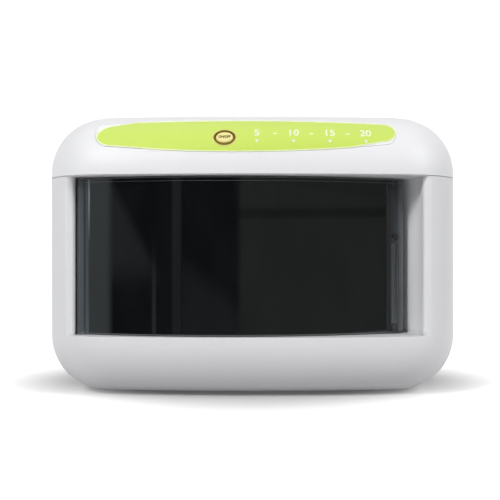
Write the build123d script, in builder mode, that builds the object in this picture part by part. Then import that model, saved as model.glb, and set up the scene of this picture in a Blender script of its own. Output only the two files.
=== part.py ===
from build123d import *

import os
from math import asin, atan2, cos, sin, sqrt

os.makedirs("parts", exist_ok=True)

# A bench-top ultraviolet cabinet for phones. Millimetres: X to the right, Y to the back, Z up,
# with the origin on the floor under the middle of the housing.

# Housing form
body_width = 305.0
body_depth = 200.0
body_height = 205.0
front_bow_radius = 800.0
corner_radius = 50.0
edge_radius = 42.0
wall = 2.5
hood_height = 46.5
seam_width = 0.7
seam_depth = 0.9
rim_round = 4.0

# Feet and covers
foot_radius = 8.0
foot_height = 2.5
foot_proud = 1.5
foot_pitch_x = 176.0
foot_pitch_y = 70.0
cover_thickness = 2.0
cover_gap = 0.15
cover_ledge = 4.0
cover_corner = 6.0
base_cover_width = 124.0
base_cover_length = 76.0
rear_cover_width = 150.0
rear_cover_margin = 60.5
vent_count = 9
vent_pitch = 7.0
vent_width = 3.0
vent_margin = 19.0
vent_rise = 8.0

# Fasteners
screw_radius = 1.5
screw_head_radius = 2.9
screw_head_height = 1.1
screw_length = 7.0
screw_clearance = 0.2
screw_inset = 5.0

# Window, finger cove and chamber
left_frame = 22.5
right_frame = 29.5
sill_height = 43.5
reveal_depth = 54.0
cove_width = 12.0
cove_lip = 8.567
rear_space = 20.0
liner_thickness = 1.0
rib_thickness = 2.5
rib_pitch = 150.0

# Door
door_bow_radius = 280.0
door_crown_x = -17.5
door_setback = 6.0
door_thickness = 3.0
door_gap = 0.6
door_edge_break = 0.8
bead_radius = 4.0
bead_gap = 0.6
finger_gap = 10.2
return_length = 8.0
return_bend = 6.0
pin_radius = 1.5
pin_fit = 0.05
pin_seat = 10.0
pin_reach = 4.0
bush_radius = 3.2
bush_height = 6.0
end_play = 0.2
striker_radius = 1.0
striker_inset = 6.4
striker_proud = 0.4
striker_rise = 4.5
post_width = 7.2
post_gap = 1.8
post_back = 11.0
magnet_radius = 2.5
magnet_length = 6.0
magnet_gap = 0.3
tongue_height = 3.0
tongue_thickness = 1.5
tongue_fit = 0.1

# Label, button and timer lights
label_left_margin = 39.2
label_right_margin = 49.3
label_top_drop = 6.4
label_bottom_drop = 30.0
label_top_left_sag = 1.9
label_top_right_sag = 2.6
label_bottom_left_sag = 5.4
label_bottom_right_sag = 6.5
label_top_corner = 5.5
label_bottom_corner = 8.8
label_thickness = 0.9
label_proud = 0.25
label_gap = 0.1
button_x = -20.0
button_drop = 19.7
button_width = 12.4
button_height = 9.6
button_travel = 1.5
button_fit = 0.3
button_flange = 1.6
button_length = 9.0
button_round = 1.2
bezel_fit = 0.05
button_proud = 1.0
bezel_band = 1.5
bezel_proud = 0.6
bezel_depth = 5.0
light_radius = 1.2
light_count = 4
light_first_x = 3.0
light_pitch = 26.0
light_drop = 22.1
light_length = 6.0

# Lamp, guard and rack
lamp_radius = 7.75
lamp_side_space = 14.5
lamp_cap_length = 12.0
lamp_cap_wall = 0.4
lamp_pin_radius = 1.15
lamp_pin_length = 7.1
lamp_pin_pitch = 5.0
lamp_rise = 14.0
lamp_window_margin = 6.0
socket_width = 24.0
socket_thickness = 12.0
reflector_thickness = 0.8
reflector_half_top = 13.0
reflector_half_mouth = 30.0
reflector_height = 27.0
reflector_flange = 8.0
guard_wire = 0.8
guard_rail = 1.1
guard_count = 9
rack_wire = 1.3
rack_rail = 1.6
rack_leg = 1.2
rack_count = 15
rack_side_space = 8.5
rack_end_space = 5.0
rack_height = 12.0

# Electronics
board_thickness = 1.6
board_depth = 16.0
board_left = -34.0
board_right = 94.0
board_half_height = 9.0
switch_size = 6.0
supply_width = 104.0
supply_length = 56.0
standoff_height = 5.0
standoff_radius = 3.0
coil_size = 24.0
inlet_width = 12.0
inlet_height = 11.0
inlet_depth = 12.5
inlet_bore_radius = 3.1
inlet_bore_depth = 9.0
inlet_pin_radius = 1.0
inlet_x = -62.0
inlet_z = 51.0
sensor_width = 5.0
sensor_length = 18.0

# Places worked out from the driving dimensions
half_width = body_width / 2
front_y = -body_depth / 2
back_y = body_depth / 2
body_top = foot_proud + body_height
seam_z = body_top - hood_height
sill_z = foot_proud + sill_height
rear_cover_middle = foot_proud + body_height / 2
rear_cover_height = body_height - 2 * rear_cover_margin
vent_length = rear_cover_height - 2 * vent_margin
window_left = left_frame - half_width
window_right = half_width - right_frame
reveal_back = front_y + reveal_depth
chamber_left = window_left
chamber_right = window_right - cove_width
chamber_width = chamber_right - chamber_left
chamber_back = back_y - rear_space
chamber_depth = chamber_back - reveal_back
chamber_middle_x = (chamber_left + chamber_right) / 2
chamber_middle_y = (reveal_back + chamber_back) / 2
clear = 20.0

bow_center_y = front_y + front_bow_radius
side_front_y = bow_center_y - sqrt(front_bow_radius**2 - half_width**2)
corner_middle_x = half_width - corner_radius
corner_middle_y = bow_center_y - sqrt((front_bow_radius - corner_radius) ** 2 - corner_middle_x**2)
corner_front_y = corner_middle_y - sqrt(corner_radius**2 - (window_right - corner_middle_x) ** 2)

door_center_y = front_y + door_setback + door_bow_radius
door_mid_radius = door_bow_radius - door_thickness / 2
door_bottom = sill_z + door_gap
door_top = seam_z - door_gap
door_height = door_top - door_bottom


def door_mid_y(x):
    return door_center_y - sqrt(door_mid_radius**2 - (x - door_crown_x) ** 2)


hinge_x = window_left + bead_gap + bead_radius
hinge_y = door_mid_y(hinge_x)
door_end_x = window_right - finger_gap - door_thickness / 2
door_end_y = door_mid_y(door_end_x)

# Magnet posts stand behind the door's free end, one on the sill and one under the lip.
striker_x = door_end_x - striker_inset
striker_back = door_mid_y(striker_x) + door_thickness
post_front = striker_back + striker_proud + magnet_gap
post_right = door_end_x - door_thickness / 2 - post_gap
post_height = door_gap + 2 * striker_rise
post_bottom_z = sill_z + door_gap + striker_rise
post_top_z = seam_z - door_gap - striker_rise
magnet_plane = Plane(origin=(striker_x, post_front, 0), x_dir=(1, 0, 0), z_dir=(0, -1, 0))


def front_plane(x, drop):
    """The plane square to the rounded front edge, at one distance below the top."""
    lean = asin((edge_radius - drop) / edge_radius)
    reach = front_bow_radius - edge_radius + edge_radius * cos(lean)
    y = bow_center_y - sqrt(reach**2 - x**2)
    turn = atan2(x, bow_center_y - y)
    outward = (sin(turn) * cos(lean), -cos(turn) * cos(lean), sin(lean))
    return Plane(origin=(x, y, body_top - drop), x_dir=(cos(turn), sin(turn), 0), z_dir=outward)


button_plane = front_plane(button_x, button_drop)
button_bore = button_plane.offset(bezel_proud)
light_planes = [front_plane(light_first_x + light_pitch * step, light_drop) for step in range(light_count)]
board_plane = front_plane((board_left + board_right) / 2, light_drop).offset(-board_depth)
board_width = board_right - board_left


# Housing form, shared by both shells and the label
with BuildSketch() as plan_outline:
    with BuildLine():
        bow = ThreePointArc((-half_width, side_front_y), (0, front_y), (half_width, side_front_y))
        Polyline(bow @ 1, (half_width, back_y), (-half_width, back_y), bow @ 0)
    make_face()
    fillet(plan_outline.vertices(), radius=corner_radius)


def body_form(inset):
    with BuildPart() as form:
        with BuildSketch(Plane.XY.offset(foot_proud + inset)):
            add(plan_outline.sketch)
            if inset:
                offset(amount=-inset, mode=Mode.REPLACE)
        extrude(amount=body_height - 2 * inset)
        fillet(form.faces().filter_by(Axis.Z).edges(), radius=edge_radius - inset)
    return form.part


outer_form = body_form(0)
inner_form = body_form(wall)
mid_form = body_form(wall / 2)
outer_skin = outer_form.shell()

# Window opening in plan, with the curved finger cove on its right
with BuildSketch() as window_plan:
    with BuildLine():
        mouth = Polyline(
            (chamber_right, reveal_back),
            (window_left, reveal_back),
            (window_left, front_y - clear),
            (window_right, front_y - clear),
            (window_right, corner_front_y + cove_lip),
        )
        TangentArc(mouth @ 1, mouth @ 0, tangent=(0, 1))
    make_face()

# Inside walls of the lower shell: window surround, sill and the ribs under the chamber floor
with BuildPart() as inner_walls:
    with BuildSketch(Plane.XY.offset(sill_z - wall)):
        add(window_plan.sketch)
        offset(amount=wall, mode=Mode.REPLACE)
    extrude(amount=seam_z - sill_z + wall)
    with BuildSketch(Plane.XY.offset(sill_z)):
        add(window_plan.sketch)
    extrude(amount=seam_z - sill_z, mode=Mode.SUBTRACT)
    split(bisect_by=Plane.XZ.offset(-reveal_back), keep=Keep.TOP)
    with BuildSketch(Plane.XY.offset(foot_proud)):
        with Locations((0, chamber_middle_y)):
            with GridLocations(rib_pitch, 0, 2, 1):
                Rectangle(rib_thickness, chamber_depth)
    extrude(amount=sill_height - liner_thickness)
    with BuildSketch(Plane.XY.offset(sill_z - wall)):
        with Locations((post_right, post_front)):
            Rectangle(post_width, post_back, align=(Align.MAX, Align.MIN))
    extrude(amount=wall + post_height)
    add(mid_form, mode=Mode.INTERSECT)

# The tongue that the hood slips over, behind the window
with BuildPart() as tongue:
    with BuildSketch(Plane.XY.offset(seam_z - tongue_height)):
        add(plan_outline.sketch)
        offset(amount=tongue_fit - wall, mode=Mode.REPLACE)
    extrude(amount=tongue_height)
    with BuildSketch(Plane.XY.offset(seam_z)):
        add(plan_outline.sketch)
        offset(amount=-tongue_fit - wall, mode=Mode.REPLACE)
    extrude(amount=tongue_height)
    with BuildSketch(Plane.XY.offset(seam_z - tongue_height)):
        add(plan_outline.sketch)
        offset(amount=-tongue_thickness - wall, mode=Mode.REPLACE)
    extrude(amount=2 * tongue_height, mode=Mode.SUBTRACT)
    split(bisect_by=Plane.XZ.offset(-reveal_back - tongue_height), keep=Keep.BOTTOM)


def cover_outline(width, length, margin):
    with BuildSketch() as outline:
        RectangleRounded(width + 2 * margin, length + 2 * margin, cover_corner)
    return outline.sketch


def screw_places(width, length):
    return GridLocations(width - 2 * screw_inset, length - 2 * screw_inset, 2, 2)


def cover_pad(plane, width, length):
    """The thicker wall around a cover, on the inside of the shell."""
    with BuildPart() as pad:
        with BuildSketch(plane):
            add(cover_outline(width, length, cover_ledge))
        extrude(amount=-wall - cover_thickness)
    return pad.part


def cover_pocket(plane, width, length):
    """The rebate that the cover lies in, the hole behind it and the screw pilots."""
    with BuildPart() as pocket:
        with BuildSketch(plane):
            add(cover_outline(width, length, cover_gap))
        extrude(amount=-cover_thickness)
        with BuildSketch(plane):
            add(cover_outline(width, length, -2 * screw_inset))
        extrude(amount=-wall - 2 * cover_thickness)
        with BuildSketch(plane):
            with screw_places(width, length):
                Circle(screw_radius)
        extrude(amount=-wall - 2 * cover_thickness)
    return pocket.part


base_plane = Plane(origin=(0, 0, foot_proud), x_dir=(1, 0, 0), z_dir=(0, 0, -1))
rear_plane = Plane(origin=(0, back_y, rear_cover_middle), x_dir=(-1, 0, 0), z_dir=(0, 1, 0))
inlet_plane = Plane(origin=(inlet_x, back_y, inlet_z), x_dir=(-1, 0, 0), z_dir=(0, 1, 0))
foot_corners = (("front_left", -1, -1), ("front_right", 1, -1), ("rear_left", -1, 1), ("rear_right", 1, 1))
foot_places = [(name, x * foot_pitch_x / 2, y * foot_pitch_y / 2) for name, x, y in foot_corners]


def on_skin(edge):
    """True on the edges that lie in the outside of the housing."""
    return outer_skin.distance_to(edge.center()) < wall / 10


with BuildPart() as lower_shell:
    add(outer_form)
    add(inner_form, mode=Mode.SUBTRACT)
    add(cover_pad(base_plane, base_cover_width, base_cover_length))
    add(cover_pad(rear_plane, rear_cover_width, rear_cover_height))
    split(bisect_by=Plane.XY.offset(seam_z), keep=Keep.BOTTOM)
    with BuildSketch(Plane.XY.offset(sill_z)):
        add(window_plan.sketch)
    extrude(amount=seam_z - sill_z, mode=Mode.SUBTRACT)
    add(inner_walls.part)
    add(tongue.part)
    uprights = lower_shell.edges().filter_by(Axis.Z).filter_by_position(Axis.X, window_left, window_right)
    mouth_edges = uprights.filter_by_position(Axis.Y, front_y, hinge_y).filter_by(on_skin)
    fillet(mouth_edges, radius=rim_round)
    add(cover_pocket(base_plane, base_cover_width, base_cover_length), mode=Mode.SUBTRACT)
    add(cover_pocket(rear_plane, rear_cover_width, rear_cover_height), mode=Mode.SUBTRACT)
    with BuildSketch(Plane.XY.offset(foot_proud)):
        with Locations(*[(x, y) for name, x, y in foot_places]):
            Circle(foot_radius + cover_gap)
    extrude(amount=foot_height - foot_proud, mode=Mode.SUBTRACT)
    with BuildSketch(Plane.XY.offset(sill_z)):
        with Locations((hinge_x, hinge_y)):
            Circle(bush_radius)
    extrude(amount=-bush_height, mode=Mode.SUBTRACT)
    with BuildSketch(inlet_plane):
        Rectangle(inlet_width + 2 * cover_gap, inlet_height + 2 * cover_gap)
    extrude(amount=-2 * wall, mode=Mode.SUBTRACT)
    with BuildSketch(magnet_plane):
        with Locations((0, post_bottom_z)):
            Circle(magnet_radius)
    extrude(amount=-magnet_length, mode=Mode.SUBTRACT)
lower_shell.part.label = "lower_shell"
export_step(lower_shell.part, "parts/lower_shell.step")


def button_oval(margin):
    """The button's oval, larger all round by a margin."""
    with BuildSketch() as oval:
        Ellipse(button_width / 2 + margin, button_height / 2 + margin)
    return oval.sketch


bezel_margin = button_fit + bezel_band


# Top shell: the hood, its seam groove, the lip over the window and the bosses for the control board
label_left = label_left_margin - half_width
label_right = half_width - label_right_margin
label_middle = (label_left + label_right) / 2
label_top = body_top - label_top_drop
label_bottom = body_top - label_bottom_drop


def label_outline(margin):
    """The label's long oval, as seen from the front."""
    with BuildSketch(Plane.XZ) as outline:
        with BuildLine():
            upper = ThreePointArc(
                (label_left, label_top - label_top_left_sag),
                (label_middle, label_top),
                (label_right, label_top - label_top_right_sag),
            )
            lower = ThreePointArc(
                (label_left, label_bottom + label_bottom_left_sag),
                (label_middle, label_bottom),
                (label_right, label_bottom + label_bottom_right_sag),
            )
            Line(upper @ 0, lower @ 0)
            Line(upper @ 1, lower @ 1)
        make_face()
        fillet(outline.vertices().sort_by(Axis.Y)[-2:], radius=label_top_corner)
        fillet(outline.vertices().sort_by(Axis.Y)[:2], radius=label_bottom_corner)
        if margin:
            offset(amount=margin, mode=Mode.REPLACE)
    return outline.sketch


def label_skin(rise, sink, margin):
    """A layer of the housing's front between two depths, inside the label's outline."""
    with BuildPart() as skin:
        add(body_form(-rise))
        add(body_form(sink), mode=Mode.SUBTRACT)
        with BuildSketch(Plane.XZ):
            add(label_outline(margin))
        extrude(amount=body_depth, mode=Mode.INTERSECT)
    return skin.part


boss_places = GridLocations(board_width - 2 * screw_inset, 2 * board_half_height - screw_inset, 2, 2)

with BuildPart() as hood_fittings:
    with BuildSketch(Plane.XY.offset(seam_z)):
        with Locations((0, front_y)):
            Rectangle(body_width, 2 * reveal_depth)
    extrude(amount=wall)
    with BuildSketch(Plane.XY.offset(seam_z + wall)):
        with Locations((post_right, post_front)):
            Rectangle(post_width, post_back, align=(Align.MAX, Align.MIN))
    extrude(amount=-wall - post_height)
    with BuildSketch(board_plane):
        with boss_places:
            Circle(standoff_radius)
    extrude(amount=board_depth)
    with BuildSketch(button_plane.offset(-bezel_depth)):
        add(button_oval(bezel_margin + wall))
    extrude(amount=bezel_depth)
    add(mid_form, mode=Mode.INTERSECT)

with BuildPart() as top_shell:
    add(outer_form)
    add(inner_form, mode=Mode.SUBTRACT)
    split(bisect_by=Plane.XY.offset(seam_z), keep=Keep.TOP)
    add(hood_fittings.part)
    with BuildSketch(Plane.XY.offset(seam_z)):
        add(plan_outline.sketch)
        with BuildSketch(Plane.XY.offset(seam_z), mode=Mode.SUBTRACT):
            add(plan_outline.sketch)
            offset(amount=-seam_depth, mode=Mode.REPLACE)
    extrude(amount=seam_width, mode=Mode.SUBTRACT)
    add(label_skin(edge_radius / 10, label_thickness - label_proud, label_gap), mode=Mode.SUBTRACT)
    with BuildSketch(Plane.XY.offset(seam_z)):
        with Locations((hinge_x, hinge_y)):
            Circle(bush_radius)
    extrude(amount=bush_height, mode=Mode.SUBTRACT)
    with BuildSketch(button_bore):
        add(button_oval(bezel_margin + bezel_fit))
    extrude(amount=-bezel_depth - bezel_proud - clear, mode=Mode.SUBTRACT)
    for light_plane in light_planes:
        with BuildSketch(light_plane):
            Circle(light_radius + bezel_fit)
        extrude(amount=-light_length, both=True, mode=Mode.SUBTRACT)
    with BuildSketch(magnet_plane):
        with Locations((0, post_top_z)):
            Circle(magnet_radius)
    extrude(amount=-magnet_length, mode=Mode.SUBTRACT)
top_shell.part.label = "top_shell"
export_step(top_shell.part, "parts/top_shell.step")

with BuildPart() as label_plate:
    add(label_skin(label_proud, label_thickness - label_proud, 0))
    with BuildSketch(button_bore):
        add(button_oval(bezel_margin + bezel_fit))
    extrude(amount=-bezel_depth, both=True, mode=Mode.SUBTRACT)
    for light_plane in light_planes:
        with BuildSketch(light_plane):
            Circle(light_radius + bezel_fit)
        extrude(amount=light_length, both=True, mode=Mode.SUBTRACT)
label_plate.part.label = "label_plate"
export_step(label_plate.part, "parts/label_plate.step")


# Covers, their screws and the feet
def cover(plane, width, length):
    with BuildPart() as plate:
        with BuildSketch(plane):
            add(cover_outline(width, length, 0))
        extrude(amount=-cover_thickness)
        with BuildSketch(plane):
            with screw_places(width, length):
                Circle(screw_radius + screw_clearance)
        extrude(amount=-cover_thickness, mode=Mode.SUBTRACT)
        with BuildSketch(plane):
            with screw_places(width, length):
                Circle(screw_head_radius + screw_clearance)
        extrude(amount=-screw_head_height, mode=Mode.SUBTRACT)
    return plate.part


def cover_screws(plane, width, length):
    with BuildPart() as screws:
        with BuildSketch(plane):
            with screw_places(width, length):
                Circle(screw_head_radius)
        extrude(amount=-screw_head_height)
        with BuildSketch(plane):
            with screw_places(width, length):
                Circle(screw_radius)
        extrude(amount=-screw_length)
    return screws.part


with BuildPart() as base_plate:
    add(cover(base_plane, base_cover_width, base_cover_length))
base_plate.part.label = "base_plate"
export_step(base_plate.part, "parts/base_plate.step")

with BuildPart() as base_screws:
    add(cover_screws(base_plane, base_cover_width, base_cover_length))
base_screws.part.label = "base_screws"
export_step(base_screws.part, "parts/base_screws.step")

with BuildPart() as rear_cover:
    add(cover(rear_plane, rear_cover_width, rear_cover_height))
    with BuildSketch(rear_plane):
        with Locations((0, vent_rise)):
            with GridLocations(vent_pitch, 0, vent_count, 1):
                SlotOverall(vent_length, vent_width, rotation=90)
    extrude(amount=-cover_thickness, mode=Mode.SUBTRACT)
rear_cover.part.label = "rear_cover"
export_step(rear_cover.part, "parts/rear_cover.step")

with BuildPart() as rear_screws:
    add(cover_screws(rear_plane, rear_cover_width, rear_cover_height))
rear_screws.part.label = "rear_screws"
export_step(rear_screws.part, "parts/rear_screws.step")

for foot_name, foot_x, foot_y in foot_places:
    with BuildPart() as foot:
        with BuildSketch():
            with Locations((foot_x, foot_y)):
                Circle(foot_radius)
        extrude(amount=foot_height)
        fillet(foot.edges().sort_by(Axis.Z)[0], radius=foot_proud / 2)
    foot.part.label = "foot_" + foot_name
    export_step(foot.part, "parts/foot_" + foot_name + ".step")

# Chamber liner: bright sheet on the floor, both sides and the back
with BuildPart() as chamber_liner:
    with BuildSketch(Plane.XY.offset(sill_z - liner_thickness)):
        with Locations((chamber_left - liner_thickness, reveal_back)):
            Rectangle(
                chamber_width + 2 * liner_thickness,
                chamber_depth + liner_thickness,
                align=(Align.MIN, Align.MIN),
            )
    extrude(amount=seam_z - sill_z + liner_thickness)
    with BuildSketch(Plane.XY.offset(sill_z)):
        with Locations((chamber_left, reveal_back)):
            Rectangle(chamber_width, chamber_depth, align=(Align.MIN, Align.MIN))
    extrude(amount=seam_z - sill_z, mode=Mode.SUBTRACT)
chamber_liner.part.label = "chamber_liner"
export_step(chamber_liner.part, "parts/chamber_liner.step")

# Ceiling: sheet over the chamber, open under the lamp
ceiling_top = seam_z + liner_thickness
lamp_length = chamber_width - 2 * lamp_side_space
lamp_window_length = 2 * reflector_half_mouth - 2 * lamp_window_margin
with BuildPart() as chamber_ceiling:
    with BuildSketch(Plane.XY.offset(seam_z)):
        with Locations((chamber_left - liner_thickness, reveal_back)):
            Rectangle(
                chamber_width + 2 * liner_thickness,
                chamber_depth + liner_thickness,
                align=(Align.MIN, Align.MIN),
            )
        with Locations((chamber_middle_x, chamber_middle_y)):
            RectangleRounded(lamp_length, lamp_window_length, cover_corner, mode=Mode.SUBTRACT)
    extrude(amount=liner_thickness)
chamber_ceiling.part.label = "chamber_ceiling"
export_step(chamber_ceiling.part, "parts/chamber_ceiling.step")

# Lamp, its end caps and sockets, the reflector over it and the guard under it
lamp_z = ceiling_top + lamp_rise
lamp_half = lamp_length / 2


def lamp_plane(x):
    """Upright plane across the lamp at one distance from its middle."""
    return Plane(origin=(chamber_middle_x + x, chamber_middle_y, lamp_z), x_dir=(0, 1, 0), z_dir=(1, 0, 0))


with BuildPart() as lamp_tube:
    with BuildSketch(lamp_plane(-lamp_half + lamp_cap_length)):
        Circle(lamp_radius)
    extrude(amount=lamp_length - 2 * lamp_cap_length)
lamp_tube.part.label = "lamp_tube"
export_step(lamp_tube.part, "parts/lamp_tube.step")

with BuildPart() as lamp_caps:
    for end in (-lamp_half, lamp_half):
        outward = lamp_cap_length if end < 0 else -lamp_cap_length
        reach = lamp_pin_length if end > 0 else -lamp_pin_length
        with BuildSketch(lamp_plane(end)):
            Circle(lamp_radius + lamp_cap_wall)
        extrude(amount=outward)
        with BuildSketch(lamp_plane(end)):
            with GridLocations(lamp_pin_pitch, 0, 2, 1):
                Circle(lamp_pin_radius)
        extrude(amount=reach)
lamp_caps.part.label = "lamp_caps"
export_step(lamp_caps.part, "parts/lamp_caps.step")

for socket_name, side in (("left", -1), ("right", 1)):
    with BuildPart() as socket:
        with BuildSketch(lamp_plane(side * lamp_half)):
            with Locations((0, ceiling_top - lamp_z)):
                Rectangle(socket_width, lamp_rise, align=(Align.CENTER, Align.MIN))
            Circle(socket_width / 2)
        extrude(amount=side * socket_thickness)
        with BuildSketch(lamp_plane(side * lamp_half)):
            with GridLocations(lamp_pin_pitch, 0, 2, 1):
                Circle(lamp_pin_radius + pin_fit)
        extrude(amount=side * (lamp_pin_length + end_play), mode=Mode.SUBTRACT)
    socket.part.label = "lamp_socket_" + socket_name
    export_step(socket.part, "parts/lamp_socket_" + socket_name + ".step")

reflector_origin = (chamber_middle_x, chamber_middle_y, ceiling_top)
with BuildPart() as lamp_reflector:
    with BuildSketch(Plane(origin=reflector_origin, x_dir=(0, 1, 0), z_dir=(1, 0, 0))):
        with BuildLine() as reflector_line:
            Polyline(
                (-reflector_half_mouth - reflector_flange, reflector_thickness / 2),
                (-reflector_half_mouth, reflector_thickness / 2),
                (-reflector_half_top, reflector_height),
                (reflector_half_top, reflector_height),
                (reflector_half_mouth, reflector_thickness / 2),
                (reflector_half_mouth + reflector_flange, reflector_thickness / 2),
            )
            offset(amount=reflector_thickness / 2)
        make_face()
    extrude(amount=lamp_half - end_play, both=True)
lamp_reflector.part.label = "lamp_reflector"
export_step(lamp_reflector.part, "parts/lamp_reflector.step")

guard_length = lamp_window_length + 4 * lamp_window_margin
with BuildPart() as lamp_guard:
    with BuildSketch(Plane.YZ.offset(chamber_middle_x)):
        with Locations((chamber_middle_y, seam_z - guard_rail)):
            with GridLocations(guard_length - lamp_window_margin, 0, 2, 1):
                Circle(guard_rail)
    extrude(amount=lamp_half, both=True)
    with BuildSketch(Plane.XZ.offset(-chamber_middle_y)):
        with Locations((chamber_middle_x, seam_z - guard_rail - guard_wire / 2)):
            with GridLocations(lamp_length / guard_count, 0, guard_count, 1):
                Circle(guard_wire)
    extrude(amount=guard_length / 2, both=True)
lamp_guard.part.label = "lamp_guard"
export_step(lamp_guard.part, "parts/lamp_guard.step")

# Wire rack that the phones lie on
rack_width = chamber_width - 2 * rack_side_space
rack_length = chamber_depth - 2 * rack_end_space
with BuildPart() as wire_rack:
    with BuildSketch(Plane.XZ.offset(-chamber_middle_y)):
        with Locations((chamber_middle_x, sill_z + rack_height + rack_wire)):
            with GridLocations(rack_width / (rack_count - 1), 0, rack_count, 1):
                Circle(rack_wire)
    extrude(amount=rack_length / 2, both=True)
    with BuildSketch(Plane.YZ.offset(chamber_middle_x)):
        with Locations((chamber_middle_y, sill_z + rack_height - rack_rail / 2)):
            with GridLocations(rack_length - rack_height, 0, 2, 1):
                Circle(rack_rail)
    extrude(amount=rack_width / 2 + 2 * rack_wire, both=True)
    with BuildSketch(Plane.XY.offset(sill_z)):
        with Locations((chamber_middle_x, chamber_middle_y)):
            with GridLocations(rack_width - 2 * rack_height, rack_length - rack_height, 2, 2):
                Circle(rack_leg)
    extrude(amount=rack_height - rack_rail / 2)
wire_rack.part.label = "wire_rack"
export_step(wire_rack.part, "parts/wire_rack.step")

# Lamp supply on the base plate
supply_floor = foot_proud + cover_thickness
with BuildPart() as supply_board:
    with BuildSketch(Plane.XY.offset(supply_floor)):
        with GridLocations(supply_width - 4 * standoff_radius, supply_length - 4 * standoff_radius, 2, 2):
            Circle(standoff_radius)
    extrude(amount=standoff_height + wall)
    with BuildSketch(Plane.XY.offset(supply_floor + standoff_height + wall)):
        Rectangle(supply_width, supply_length)
    extrude(amount=board_thickness)
supply_board.part.label = "supply_board"
export_step(supply_board.part, "parts/supply_board.step")

supply_top = supply_floor + standoff_height + wall + board_thickness
with BuildPart() as supply_parts:
    with BuildSketch(Plane.XY.offset(supply_top)):
        with Locations((supply_width / 4, 0)):
            RectangleRounded(coil_size, coil_size, wall)
        with Locations((-supply_width / 4, supply_length / 4)):
            Circle(coil_size / 4)
        with Locations((-supply_width / 4, -supply_length / 4)):
            Circle(coil_size / 4)
    extrude(amount=coil_size / 2)
supply_parts.part.label = "supply_parts"
export_step(supply_parts.part, "parts/supply_parts.step")

# Control board behind the label, with the switch under the button
with BuildPart() as control_board:
    with BuildSketch(board_plane):
        Rectangle(board_width, 2 * board_half_height)
    extrude(amount=-board_thickness)
control_board.part.label = "control_board"
export_step(control_board.part, "parts/control_board.step")

# The switch stands on the board, short of the pressed button by the end play.
pressed = button_plane.offset(button_proud - button_length - button_travel - end_play).origin
switch_place = board_plane.to_local_coords(pressed)
switch_height = switch_place.Z - end_play
with BuildPart() as button_switch:
    with BuildSketch(board_plane):
        with Locations((switch_place.X, switch_place.Y)):
            RectangleRounded(switch_size, switch_size, switch_size / 10)
    extrude(amount=switch_height - switch_size / 6)
    with BuildSketch(board_plane):
        with Locations((switch_place.X, switch_place.Y)):
            Circle(switch_size / 4)
    extrude(amount=switch_height)
button_switch.part.label = "button_switch"
export_step(button_switch.part, "parts/button_switch.step")

with BuildPart() as timer_lights:
    for light_plane in light_planes:
        with BuildSketch(light_plane.offset(label_proud)):
            Circle(light_radius)
        extrude(amount=-light_length)
timer_lights.part.label = "timer_lights"
export_step(timer_lights.part, "parts/timer_lights.step")

with BuildPart() as button_bezel:
    with BuildSketch(button_bore):
        add(button_oval(bezel_margin))
        add(button_oval(button_fit), mode=Mode.SUBTRACT)
    extrude(amount=-bezel_depth - bezel_proud)
    bezel_rim = button_bezel.faces().sort_by(Axis(button_plane.origin, button_plane.z_dir))[-1].edges()
    fillet(bezel_rim, radius=bezel_proud / 2)
button_bezel.part.label = "button_bezel"
export_step(button_bezel.part, "parts/button_bezel.step")

with BuildPart() as power_button:
    with BuildSketch(button_plane.offset(button_proud)):
        add(button_oval(0))
    extrude(amount=-button_proud - bezel_depth - end_play)
    cap = power_button.faces().sort_by(Axis(button_plane.origin, button_plane.z_dir))[-1]
    fillet(cap.edges(), radius=button_round)
    with BuildSketch(button_plane.offset(-bezel_depth - end_play)):
        add(button_oval(bezel_margin - button_fit))
    extrude(amount=-button_flange)
    with BuildSketch(button_plane.offset(-bezel_depth - end_play)):
        Circle(switch_size / 2)
    extrude(amount=button_proud + bezel_depth + end_play - button_length)
power_button.part.label = "power_button"
export_step(power_button.part, "parts/power_button.step")

# Door: one bowed pane with a hinge bead on its left and a bent return on its right
with BuildPart() as door_pane:
    with BuildSketch(Plane.XY.offset(door_bottom)) as door_outline:
        with BuildLine() as door_line:
            pane_sweep = ThreePointArc(
                (hinge_x, hinge_y),
                (door_crown_x, front_y + door_setback + door_thickness / 2),
                (door_end_x, door_end_y),
            )
            Line(pane_sweep @ 1, (door_end_x, door_end_y + return_length))
            fillet(door_line.vertices().sort_by(Axis.X)[-2:].sort_by(Axis.Y)[0], radius=return_bend)
            offset(amount=door_thickness / 2)
        make_face()
    extrude(amount=door_height)
    chamfer(door_pane.faces().filter_by(Axis.Z).edges(), length=door_edge_break)
    with BuildSketch(Plane.XY.offset(door_bottom)):
        with Locations((hinge_x, hinge_y)):
            Circle(bead_radius)
    extrude(amount=door_height)
    with BuildSketch(Plane.XY.offset(door_bottom)):
        with Locations((hinge_x, hinge_y)):
            Circle(pin_radius + pin_fit)
    extrude(amount=pin_seat, mode=Mode.SUBTRACT)
    with BuildSketch(Plane.XY.offset(door_top)):
        with Locations((hinge_x, hinge_y)):
            Circle(pin_radius + pin_fit)
    extrude(amount=-pin_seat, mode=Mode.SUBTRACT)
    with BuildSketch(magnet_plane):
        with Locations((0, post_bottom_z), (0, post_top_z)):
            Circle(striker_radius)
    extrude(amount=2 * door_thickness + clear, mode=Mode.SUBTRACT)
door_pane.part.label = "door_pane"
export_step(door_pane.part, "parts/door_pane.step")

for pin_name, pin_start, pin_way in (("top", door_top, 1), ("bottom", door_bottom, -1)):
    with BuildPart() as door_pin:
        with BuildSketch(Plane.XY.offset(pin_start - pin_way * pin_seat)):
            with Locations((hinge_x, hinge_y)):
                Circle(pin_radius)
        extrude(amount=pin_way * (pin_seat + door_gap + pin_reach))
    door_pin.part.label = "door_pin_" + pin_name
    export_step(door_pin.part, "parts/door_pin_" + pin_name + ".step")

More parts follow.
